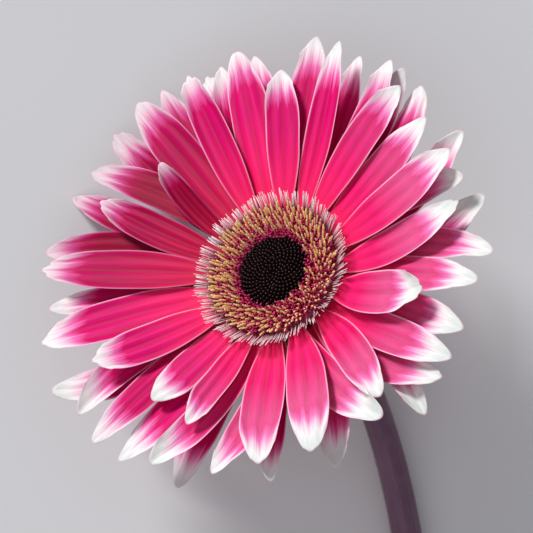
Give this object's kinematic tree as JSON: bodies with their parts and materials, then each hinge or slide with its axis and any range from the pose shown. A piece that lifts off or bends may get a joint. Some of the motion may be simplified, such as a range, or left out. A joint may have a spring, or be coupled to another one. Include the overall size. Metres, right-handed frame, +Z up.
{
  "type": "cut gerbera",
  "caption": "Cut gerbera lying on its side: a bent stem, a green involucre, a dark disc with a ring of trans florets, and overlapping white-tipped magenta rays.",
  "frame": {"origin": "centre of the bounding box's bottom face, on the surface the flower lies on", "axes": "+Y along the straight part of the stem, from the cut end towards the head; +Z up from the surface; the face looks up towards -X +Y"},
  "size_m": [0.1026, 0.3636, 0.0857],
  "materials": {
    "stem": "matt, finely ribbed and downy, mauve-brown fading to green",
    "involucre": "matt green bracts with dull red tips",
    "disc_florets": "near-black maroon buds, packed in spirals",
    "trans_floret_ring": "burgundy florets with ochre anthers and pale styles",
    "ray_floret": "satin magenta petals with folds along them and streaked white tips"
  },
  "bodies": {
    "root": {"stem": "stem", "involucre": "involucre", "disc_florets": "disc_florets", "trans_floret_ring": "trans_floret_ring", "ray_front_01": "ray_floret", "ray_front_02": "ray_floret", "ray_front_03": "ray_floret", "ray_front_04": "ray_floret", "ray_front_05": "ray_floret", "ray_front_06": "ray_floret", "ray_front_07": "ray_floret", "ray_front_08": "ray_floret", "ray_front_09": "ray_floret", "ray_front_10": "ray_floret", "ray_front_11": "ray_floret", "ray_front_12": "ray_floret", "ray_front_13": "ray_floret", "ray_front_14": "ray_floret", "ray_front_15": "ray_floret", "ray_front_16": "ray_floret", "ray_front_17": "ray_floret", "ray_front_18": "ray_floret", "ray_front_19": "ray_floret", "ray_front_20": "ray_floret", "ray_middle_01": "ray_floret", "ray_middle_02": "ray_floret", "ray_middle_03": "ray_floret", "ray_middle_04": "ray_floret", "ray_middle_05": "ray_floret", "ray_middle_06": "ray_floret", "ray_middle_07": "ray_floret", "ray_middle_08": "ray_floret", "ray_middle_09": "ray_floret", "ray_middle_10": "ray_floret", "ray_middle_11": "ray_floret", "ray_middle_12": "ray_floret", "ray_middle_13": "ray_floret", "ray_middle_14": "ray_floret", "ray_middle_15": "ray_floret", "ray_middle_16": "ray_floret", "ray_middle_17": "ray_floret", "ray_middle_18": "ray_floret", "ray_back_01": "ray_floret", "ray_back_02": "ray_floret", "ray_back_03": "ray_floret", "ray_back_04": "ray_floret", "ray_back_05": "ray_floret", "ray_back_06": "ray_floret", "ray_back_07": "ray_floret", "ray_back_08": "ray_floret", "ray_back_09": "ray_floret", "ray_back_10": "ray_floret", "ray_back_11": "ray_floret", "ray_back_12": "ray_floret", "ray_back_13": "ray_floret", "ray_back_14": "ray_floret", "ray_back_15": "ray_floret", "ray_back_16": "ray_floret", "ray_back_17": "ray_floret", "ray_back_18": "ray_floret"}
  },
  "joints": []
}
